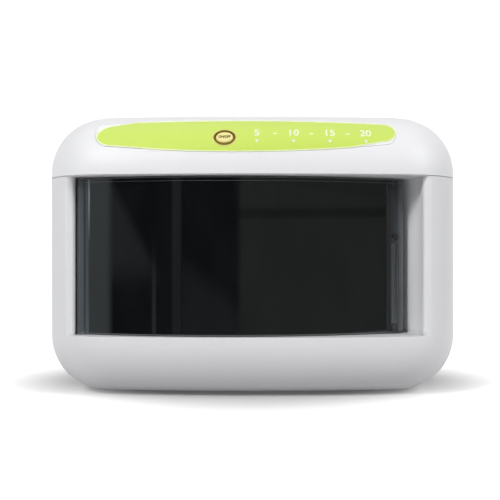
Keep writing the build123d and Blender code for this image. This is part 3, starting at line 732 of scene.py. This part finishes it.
def boxOf(name):
    # a piece's lowest and highest corner, and its middle
    low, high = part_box(name)
    return low, high, (low + high) / 2


alongX = Matrix.Rotation(math.pi / 2, 3, "Y")
alongY = Matrix.Rotation(-math.pi / 2, 3, "X")
facingDown = Matrix.Rotation(math.pi, 3, "X")

# A domed end's circles: share of the radius across, and down from the tip
rod = {"dome": ((0.0, 0.0), (0.5, 0.13), (0.87, 0.5), (1.0, 1.0)), "segments": 12}


def roundedRod(radius, length):
    # a rod with softly domed ends, its middle at the origin, along Z
    upper = [(across * radius, length / 2 - down * radius) for across, down in rod["dome"]]
    return turned([(r, -h) for r, h in upper] + upper[::-1], rod["segments"])


# Cross-head screws in the two covers
screw = {
    "head": 0.0029,
    "sink": 0.0011,
    "edge": 0.0001,
    "rim": 0.0002,
    "rimDrop": 0.00035,
    "crown": 1.4,
    "crownDrop": 0.00006,
    "shank": 0.0015,
    "length": 0.007,
    "point": 0.0004,
    "taper": 0.0012,
    "segments": 32,
}
cross = {"arm": 0.0017, "half": 0.00035, "depth": 0.0008, "rise": 0.0005, "foot": 0.8, "mouth": 1.1}


def crossScrew():
    head, sink, shank, end = screw["head"], screw["sink"], screw["shank"], -screw["length"]
    profile = [(0, end), (screw["point"], end), (shank, end + screw["taper"]), (shank, -sink)]
    profile += [(head - screw["edge"], -sink), (head, screw["edge"] - sink), (head, -screw["rimDrop"])]
    profile += [(head - screw["rim"], -screw["rim"]), (screw["crown"] * shank, -screw["crownDrop"]), (0, 0)]
    arm, half = cross["arm"], cross["half"]
    corners = [(half, half), (half, arm), (-half, arm), (-half, half), (-arm, half), (-arm, -half)]
    corners += [(-x, -y) for x, y in corners]
    shape = bmesh.new()
    foot = [shape.verts.new((cross["foot"] * x, cross["foot"] * y, -cross["depth"])) for x, y in corners]
    mouth = [shape.verts.new((cross["mouth"] * x, cross["mouth"] * y, cross["rise"])) for x, y in corners]
    shape.faces.new(foot)
    shape.faces.new(mouth)
    for n in range(len(corners)):
        m = (n + 1) % len(corners)
        shape.faces.new((foot[n], foot[m], mouth[m], mouth[n]))
    cutter = temporary("cutter", closedMesh(shape, "cross"))
    holder = temporary("head", turned(profile, screw["segments"]))
    cut = holder.modifiers.new("cross", "BOOLEAN")
    cut.object = cutter
    cut.solver = "EXACT"
    carved = settled(holder)
    bpy.data.objects.remove(cutter)
    return carved


def coverScrews(name, node, turn, seat, width, height):
    # two rows of two, whose heads reach the node's sides
    inset = 2 * screw["head"]
    row = copies(crossScrew(), 2, (width - inset, 0, 0), zinc)
    grid = copies(row, 2, (0, height - inset, 0), zinc)
    fit(name, moved(grid, seat, turn), zinc, "housing", "steel", node)


low, high, middle = boxOf("base_screws")
size = high - low
coverScrews("baseCrossScrews", "base_screws", facingDown, (middle.x, middle.y, low.z), size.x, size.y)
low, high, middle = boxOf("rear_screws")
size = high - low
coverScrews("rearCrossScrews", "rear_screws", alongY, (middle.x, high.y, middle.z), size.x, size.z)
print("screws fitted")

# Slanted blades in the rear vents
vents = {
    "count": 9,
    "pitch": 0.007,
    "width": 0.003,
    "length": 0.046,
    "rise": 0.008,
    "sink": 0.0011,
    "bladePitch": 0.0042,
    "blade": (0.0034, 0.0016, 0.0007),
    "slope": 0.55,
    "edge": 0.00015,
}
acrossHalf, deepHalf, thickHalf = [length / 2 for length in vents["blade"]]
shape = bmesh.new()
bmesh.ops.create_cube(shape, size=2.0)
for vertex in shape.verts:
    x, y, z = vertex.co
    vertex.co = (x * acrossHalf, y * deepHalf, z * thickHalf - y * vents["slope"] * deepHalf)
bmesh.ops.bevel(shape, geom=shape.edges, offset=vents["edge"], segments=2, affect="EDGES")
rows = int((vents["length"] - vents["width"]) / vents["bladePitch"])
column = copies(closedMesh(shape, "blade"), rows, (0, 0, vents["bladePitch"]), white)
blades = copies(column, vents["count"], (vents["pitch"], 0, 0), white)
low, high, middle = boxOf("rear_cover")
ventMiddle = (middle.x, high.y - vents["sink"], middle.z + vents["rise"])
fit("ventBlades", moved(blades, ventMiddle), white, "housing", "white_plastic")

# Metal sleeve and pin of the low-voltage inlet
inlet = {"bore": 0.0031, "depth": 0.0088, "wall": 0.00022, "mouth": 0.0003}
inletPin = {"radius": 0.00112, "neck": 0.0010, "tipShare": 0.7, "tip": 0.0004, "end": 0.0002}
outside, inside, end = inlet["bore"], inlet["bore"] - inlet["wall"], -inlet["depth"]
sleeveProfile = [(outside, end), (outside, -inlet["mouth"]), (inside, -inlet["mouth"]), (inside, end)]
pinProfile = [(0, end), (inletPin["radius"], end), (inletPin["radius"], -inletPin["neck"])]
pinProfile += [(inletPin["tipShare"] * inletPin["radius"], -inletPin["tip"]), (0, -inletPin["end"])]
contacts = joined("inletContacts", turned(sleeveProfile, 32, True), turned(pinProfile, 20))
low, high, middle = boxOf("power_inlet")
fit("inletContacts", moved(contacts, (middle.x, high.y, middle.z), alongY), chrome, "housing", "steel")
print("back fitted")

# Wire rack and lamp guard, with domed wire ends
rack = {"wire": 0.0013, "rail": 0.0016, "leg": 0.0012, "count": 15, "legInset": 0.0121, "railInset": 0.006}
low, high, middle = boxOf("wire_rack")
wireLevel = high.z - rack["wire"]
railLevel = high.z - 2 * rack["wire"] - rack["rail"] / 2
wireSpan = high.x - low.x - 4 * rack["wire"]
railStep = (0, high.y - low.y - 2 * rack["railInset"], 0)
legStep = (wireSpan - 2 * rack["legInset"], 0, 0)
legLength = railLevel - low.z
wire = moved(roundedRod(rack["wire"], high.y - low.y), turn=alongY)
wires = copies(wire, rack["count"], (wireSpan / (rack["count"] - 1), 0, 0), chrome)
rail = moved(roundedRod(rack["rail"], high.x - low.x), turn=alongX)
rails = copies(rail, 2, railStep, chrome)
legs = copies(copies(roundedRod(rack["leg"], legLength), 2, legStep, chrome), 2, railStep, chrome)
parts = [moved(wires, (middle.x, middle.y, wireLevel)), moved(rails, (middle.x, middle.y, railLevel))]
parts.append(moved(legs, (middle.x, middle.y, low.z + legLength / 2)))
fit("phoneRack", joined("phoneRack", *parts), chrome, "housing", "chromed_wire", "wire_rack")

# Plastic tips under the rack's legs
legTip = {
    "foot": 0.0021,
    "radius": 0.0024,
    "top": 0.0019,
    "edge": 0.0004,
    "shoulder": 0.0032,
    "height": 0.0042,
    "lift": 0.00002,
}
radius, height = legTip["radius"], legTip["height"]
tipProfile = [(0, 0), (legTip["foot"], 0), (radius, legTip["edge"]), (radius, legTip["shoulder"])]
tipProfile += [(legTip["top"], height), (0, height)]
tips = copies(copies(turned(tipProfile, 20), 2, legStep, acetal), 2, railStep, acetal)
tipPlace = (middle.x, middle.y, low.z + legTip["lift"])
fit("rackLegTips", moved(tips, tipPlace), acetal, "housing", "socket_plastic")

guard = {"wire": 0.0008, "rail": 0.0011, "count": 9, "railInset": 0.003}
low, high, middle = boxOf("lamp_guard")
railLevel = high.z - guard["rail"]
wireLevel = railLevel - guard["wire"] / 2
wire = moved(roundedRod(guard["wire"], high.y - low.y), turn=alongY)
crossWires = copies(wire, guard["count"], ((high.x - low.x) / guard["count"], 0, 0), chrome)
rail = moved(roundedRod(guard["rail"], high.x - low.x), turn=alongX)
sideRails = copies(rail, 2, (0, high.y - low.y - 2 * guard["railInset"], 0), chrome)
parts = [moved(crossWires, (middle.x, middle.y, wireLevel))]
parts.append(moved(sideRails, (middle.x, middle.y, railLevel)))
fit("lampGuardWires", joined("lampGuardWires", *parts), chrome, "housing", "chromed_wire", "lamp_guard")
print("wires fitted")

# Lamp: quartz tube with pinched-in shoulders, and an electrode at each end
lamp = {"wall": 0.0008, "shoulder": 0.006, "shoulderShare": 0.4, "pinch": (0.0012, 0.0003), "alpha": 0.30}
electrode = {
    "stem": 0.0022,
    "stemLength": 0.012,
    "waist": (0.8, 0.6),
    "neck": 0.5,
    "lead": 0.0003,
    "leadFoot": 0.8,
    "leadHalf": 0.0006,
    "reach": 0.006,
    "coil": 0.0009,
    "coilHalf": 0.0035,
    "coilWire": 0.00018,
    "turns": 9,
    "turnSteps": 12,
}
low, high, middle = boxOf("lamp_tube")
radius = (high.z - low.z) / 2
half = (high.x - low.x) / 2
endPinch, wayPinch = lamp["pinch"]
wayIn = lamp["shoulderShare"] * lamp["shoulder"]
outer = [(radius - endPinch, -half), (radius - wayPinch, -half + wayIn), (radius, -half + lamp["shoulder"])]
outer += [(r, -h) for r, h in outer[::-1]]
inner = [(r - lamp["wall"], h) for r, h in outer[::-1]]
quartz = finish("quartzGlass", (0.72, 0.80, 0.90), (0.80, 0.87, 0.95), (0.03, 0.08), 90.0)
quartz.node_tree.nodes["Principled BSDF"].inputs["Alpha"].default_value = lamp["alpha"]
tube = moved(turned(outer + inner, 40, True), middle, alongX)
fit("quartzTube", tube, quartz, "housing", "lamp_glass", "lamp_tube")


def stemMesh():
    stem, length = electrode["stem"], electrode["stemLength"]
    waist, waistHeight = electrode["waist"]
    profile = [(0, 0), (stem, 0), (waist * stem, waistHeight * length)]
    profile += [(electrode["neck"] * stem, length), (0, length)]
    return turned(profile, 16)


def electrodeParts(side):
    # a stem, two leads and the coil that they hold, inside the tube's left (-1) or right (1) end
    foot = middle.x + side * half
    tipX = foot - side * (electrode["stemLength"] + electrode["reach"])
    leadX = foot - side * electrode["leadFoot"] * electrode["stemLength"]
    inward = alongX if side < 0 else alongX.transposed()
    made = [moved(stemMesh(), (foot, middle.y, middle.z), inward)]
    coilHalf = electrode["coilHalf"]
    for way in (-1, 1):
        leadStart = (leadX, middle.y + way * electrode["leadHalf"], middle.z)
        leadEnd = (tipX, middle.y + way * coilHalf, middle.z)
        made.append(bead([leadStart, leadEnd], False, electrode["lead"], 8, zinc))
    spiral = []
    steps = electrode["turns"] * electrode["turnSteps"]
    for step in range(steps + 1):
        angle = 2 * math.pi * step / electrode["turnSteps"]
        coilX = tipX + electrode["coil"] * math.sin(angle)
        coilZ = middle.z + electrode["coil"] * math.cos(angle)
        spiral.append((coilX, middle.y + coilHalf * (2 * step / steps - 1), coilZ))
    made.append(bead(spiral, False, electrode["coilWire"], 6, zinc))
    return made


electrodes = electrodeParts(-1) + electrodeParts(1)
fit("lampElectrodes", joined("lampElectrodes", *electrodes), zinc, "housing", "steel")

# Rivets that hold the liner
rivet = {
    "radius": 0.0022,
    "height": 0.0009,
    "foot": -0.0004,
    "rim": 0.00015,
    "shoulder": (0.75, 0.7),
    "columns": 4,
    "pitch": 0.07,
    "levels": (0.052, 0.152),
    "sheet": 0.001,
}
shoulderAcross, shoulderUp = rivet["shoulder"]
domeProfile = [(0, rivet["foot"]), (rivet["radius"], rivet["foot"]), (rivet["radius"], rivet["rim"])]
domeProfile += [(shoulderAcross * rivet["radius"], shoulderUp * rivet["height"]), (0, rivet["height"])]
dome = moved(turned(domeProfile, 20), turn=alongY.transposed())
lowLevel, highLevel = rivet["levels"]
rivetRow = copies(dome, rivet["columns"], (rivet["pitch"], 0, 0), zinc)
rivets = copies(rivetRow, 2, (0, 0, highLevel - lowLevel), zinc)
low, high, middle = boxOf("chamber_liner")
rivetMiddle = (middle.x, high.y - rivet["sheet"], (lowLevel + highLevel) / 2)
fit("linerRivets", moved(rivets, rivetMiddle), zinc, "housing", "bright_aluminium")
print("chamber fitted")

# The hood's front, where the label, numbers and button lie
hood = {"bow": 0.8, "edge": 0.042, "top": 0.2065, "bowMiddle": 0.7, "labelProud": 0.00025}


def arcAt(height):
    # distance up the rounded front edge to one height
    return hood["edge"] * math.asin((height - hood["top"] + hood["edge"]) / hood["edge"])


def onHood(x, arc, lift=0.0):
    lean = arc / hood["edge"]
    reach = hood["bow"] - hood["edge"] + (hood["edge"] + lift) * math.cos(lean)
    height = hood["top"] - hood["edge"] + (hood["edge"] + lift) * math.sin(lean)
    return Vector((x, hood["bowMiddle"] - math.sqrt(reach * reach - x * x), height))


# Capitals' share of the font's size, the bands that let them bend, and how far their middle sits off the face
lettering = {"capitals": 0.73, "band": 0.0009, "bands": 4, "steps": 5, "seat": 0.3}


def letters(words, height, thickness, weight):
    # flat raised characters, cut into bands so that they can follow a curved face
    curve = bpy.data.curves.new("letters", "FONT")
    curve.body = words
    curve.size = height / lettering["capitals"]
    curve.align_x = "CENTER"
    curve.align_y = "CENTER"
    curve.extrude = thickness / 2
    curve.offset = weight
    curve.resolution_u = lettering["steps"]
    mesh = settled(temporary("letters", curve))
    shape = bmesh.new()
    shape.from_mesh(mesh)
    bmesh.ops.remove_doubles(shape, verts=shape.verts, dist=1e-6)
    for band in range(-lettering["bands"], lettering["bands"] + 1):
        everything = shape.verts[:] + shape.edges[:] + shape.faces[:]
        cut = (0, band * lettering["band"], 0)
        bmesh.ops.bisect_plane(shape, geom=everything, dist=1e-7, plane_co=cut, plane_no=(0, 1, 0))
    return closedMesh(shape, "letters")


numbers = {
    "marks": (5, 10, 15, 20),
    "firstX": 0.003,
    "pitch": 0.026,
    "height": 0.1903,
    "tall": 0.0062,
    "raised": 0.00014,
    "weight": 0.0001,
}
# The numbers, with a dash after each but the last
characters = []
for index, mark in enumerate(numbers["marks"]):
    centre = numbers["firstX"] + index * numbers["pitch"]
    characters += [(str(mark), centre), ("-", centre + numbers["pitch"] / 2)]
printed = []
for words, centre in characters[:-1]:
    mesh = letters(words, numbers["tall"], numbers["raised"], numbers["weight"])
    for vertex in mesh.vertices:
        u, v, w = vertex.co
        lift = hood["labelProud"] + w + lettering["seat"] * numbers["raised"]
        vertex.co = onHood(centre + u, arcAt(numbers["height"]) + v, lift)
    printed.append(mesh)
palePrint = finish("palePrint", (0.88, 0.92, 0.72), (0.94, 0.97, 0.80), (0.35, 0.45), 300.0)
fit("timerNumbers", joined("timerNumbers", *printed), palePrint, "housing", "light_lens")

# A pale bead round the label's print, its pale tone a painted highlight along the label's edge
trim = {"radius": 0.00050, "sides": 10, "steps": 160, "faceLean": -0.35, "sideLean": 0.12}
labelEdgeHighlight = finish("labelEdgeHighlight", (0.86, 0.92, 0.60), (0.90, 0.95, 0.68), (0.30, 0.40), 120.0)


def filmContour():
    # points in order round the film, where its face meets its side
    shape = bmesh.new()
    shape.from_mesh(nodes["label_plate"].data)
    bmesh.ops.remove_doubles(shape, verts=shape.verts, dist=1e-6)
    shape.normal_update()
    neighbours = {}
    for edge in shape.edges:
        leans = sorted(face.normal.y for face in edge.link_faces)
        if len(leans) == 2 and leans[0] < trim["faceLean"] and abs(leans[1]) < trim["sideLean"]:
            first, second = edge.verts
            neighbours.setdefault(first, []).append(second)
            neighbours.setdefault(second, []).append(first)
    loop = [min(neighbours, key=lambda vertex: vertex.co.x)]
    onward = neighbours[loop[0]]
    while onward:
        loop.append(onward[0])
        onward = [vertex for vertex in neighbours[loop[-1]] if vertex not in loop]
    points = [vertex.co.copy() for vertex in loop]
    shape.free()
    return points


contour = filmContour()


def printSpan(x):
    # the lime print's lowest and highest point at one x, kept on the film
    heights = []
    for first, second in zip(contour, contour[1:] + contour[:1]):
        if (first.x - x) * (second.x - x) < 0:
            heights.append(first.z + (x - first.x) / (second.x - first.x) * (second.z - first.z))
    lowest, highest = min(heights), max(heights)
    for end in labelPrint:
        inward = (x - end["tip"]) * end["way"]
        curve = max(1 - inward / end["reach"], 0)
        half = math.sqrt(max(1 - curve * curve, 0)) * end["half"]
        half += max(inward - end["reach"], 0) * end["grow"]
        middle = end["middle"] + inward * end["drift"]
        lowest, highest = max(lowest, middle - half), min(highest, middle + half)
    return lowest, highest


leftTip, rightTip = [onHood(end["tip"], arcAt(end["middle"]), hood["labelProud"]) for end in labelPrint]
printWidth = labelPrint[1]["tip"] - labelPrint[0]["tip"]
lowerLine, upperLine = [], []
for step in range(1, trim["steps"]):
    x = labelPrint[0]["tip"] + printWidth * (1 - math.cos(math.pi * step / trim["steps"])) / 2
    lowest, highest = printSpan(x)
    lowerLine.append(onHood(x, arcAt(lowest), hood["labelProud"]))
    upperLine.append(onHood(x, arcAt(highest), hood["labelProud"]))
outline = [leftTip] + lowerLine + [rightTip] + upperLine[::-1]
labelBead = bead(outline, True, trim["radius"], trim["sides"], labelEdgeHighlight)
fit("labelBead", labelBead, labelEdgeHighlight, "housing", "label_lime")

# A pale ring round the button's bezel
button = {"x": -0.020, "height": 0.1868}
ring = {"width": 0.0166, "height": 0.0138, "radius": 0.00045, "sides": 8, "steps": 64}
ringPoints = []
for step in range(ring["steps"]):
    angle = 2 * math.pi * step / ring["steps"]
    x = button["x"] + ring["width"] / 2 * math.cos(angle)
    arc = arcAt(button["height"]) + ring["height"] / 2 * math.sin(angle)
    ringPoints.append(onHood(x, arc, hood["labelProud"]))
bezelBead = bead(ringPoints, True, ring["radius"], ring["sides"], cream)
fit("bezelBead", bezelBead, cream, "housing", "label_lime")

# ON/OFF on the button's cap, which travels with it
capPrint = {
    "tall": 0.0021,
    "widest": 0.0084,
    "raised": 0.0001,
    "weight": 0.00011,
    "clear": 0.01,
    "step": 0.0001,
}
capArc = arcAt(button["height"])
origin = onHood(button["x"], capArc)
upward = (onHood(button["x"], capArc + capPrint["step"]) - origin).normalized()
outward = (onHood(button["x"], capArc, capPrint["clear"]) - origin).normalized()
sideways = upward.cross(outward)
capMark = letters("ON/OFF", capPrint["tall"], capPrint["raised"], capPrint["weight"])
widest = max(vertex.co.x for vertex in capMark.vertices) * 2
capTree = BVHTree.FromObject(nodes["power_button"], bpy.context.evaluated_depsgraph_get())
for vertex in capMark.vertices:
    u, v, w = vertex.co
    u *= capPrint["widest"] / widest
    above = origin + sideways * u + upward * v + outward * capPrint["clear"]
    hit = capTree.ray_cast(above, -outward)[0]
    vertex.co = hit + outward * (w + lettering["seat"] * capPrint["raised"])
brownPrint = finish("brownPrint", (0.05, 0.022, 0.004), (0.08, 0.035, 0.006), (0.3, 0.4), 300.0, shine=0.2)
fit("capLetters", capMark, brownPrint, "button", "bezel_brown")
print("front fitted")

# Slim grooved pull on the door's free end, and a round boss over it
pull = {
    "x": 0.1056,
    "width": 0.0062,
    "foot": 0.0526,
    "top": 0.1115,
    "rail": 0.0007,
    "groove": 0.00005,
    "railSpan": 0.95,
    "ends": 0.03,
}
boss = {"radius": 0.0030, "rise": 0.0007, "height": 0.1165, "sink": 0.0001}
patch = {"columns": 24, "rows": 40, "sunk": 0.0003, "front": -0.2, "smooth": 1.0}
paneTree = BVHTree.FromObject(nodes["door_pane"], bpy.context.evaluated_depsgraph_get())


def onPane(x, z, lift):
    hit = paneTree.ray_cast(Vector((x, patch["front"], z)), Vector((0, 1, 0)))[0]
    return hit + Vector((0, -lift, 0))


def panePatch(across, along, rise):
    # a closed solid on the pane: its top follows rise(u, v), its underside is sunk a little
    columns, rows = patch["columns"], patch["rows"]
    shape = bmesh.new()
    sheets = []
    for sunk in (False, True):
        sheet = []
        for row in range(rows + 1):
            line = []
            for column in range(columns + 1):
                u, v = column / columns, row / rows
                lift = -patch["sunk"] if sunk else rise(u, v)
                line.append(shape.verts.new(onPane(across(u), along(v), lift)))
            sheet.append(line)
        sheets.append(sheet)
    top, under = sheets
    for sheet in sheets:
        for row in range(rows):
            for column in range(columns):
                near = (sheet[row][column], sheet[row][column + 1])
                far = (sheet[row + 1][column + 1], sheet[row + 1][column])
                square = near + far
                shape.faces.new(square if sheet is top else square[::-1])
    rim = [(0, column) for column in range(columns)] + [(row, columns) for row in range(rows)]
    rim += [(rows, column) for column in range(columns, 0, -1)] + [(row, 0) for row in range(rows, 0, -1)]
    for (rowA, columnA), (rowB, columnB) in zip(rim, rim[1:] + rim[:1]):
        topEdge = (top[rowB][columnB], top[rowA][columnA])
        shape.faces.new(topEdge + (under[rowA][columnA], under[rowB][columnB]))
    return closedMesh(shape, "panePatch", patch["smooth"])


def pullRise(u, v):
    # two rails with a groove between them, sloping off at the top and the foot
    side = abs(2 * u - 1)
    rails = math.sin(math.pi * side / pull["railSpan"]) ** 2 if side < pull["railSpan"] else 0.0
    ends = min(1.0, v / pull["ends"], (1 - v) / pull["ends"])
    return pull["groove"] + pull["rail"] * rails * math.sqrt(max(ends, 0.0))


def bossRise(u, v):
    spread = min((2 * u - 1) ** 2 + (2 * v - 1) ** 2, 1.0)
    return boss["rise"] * math.sqrt(1 - spread) - boss["sink"]


pullMesh = panePatch(
    lambda u: pull["x"] + (u - 0.5) * pull["width"],
    lambda v: pull["foot"] + v * (pull["top"] - pull["foot"]),
    pullRise,
)
bossMesh = panePatch(
    lambda u: pull["x"] + (u - 0.5) * 2 * boss["radius"],
    lambda v: boss["height"] + (v - 0.5) * 2 * boss["radius"],
    bossRise,
)
# painted highlights: the pane's acrylic made lighter in fine vertical streaks on the pull
pullPaintedStreaks = finish(
    "pullPaintedStreaks", (0.025, 0.030, 0.032), (0.12, 0.135, 0.14), (0.04, 0.09), 320.0, grain=(1, 1, 0.02)
)
bossAcrylic = finish("bossAcrylic", (0.003, 0.003, 0.004), (0.006, 0.006, 0.007), (0.10, 0.20), 300.0)
fit("doorPull", pullMesh, pullPaintedStreaks, "door", "smoked_pane")
fit("doorPullBoss", bossMesh, bossAcrylic, "door", "smoked_pane")
print("door fitted")
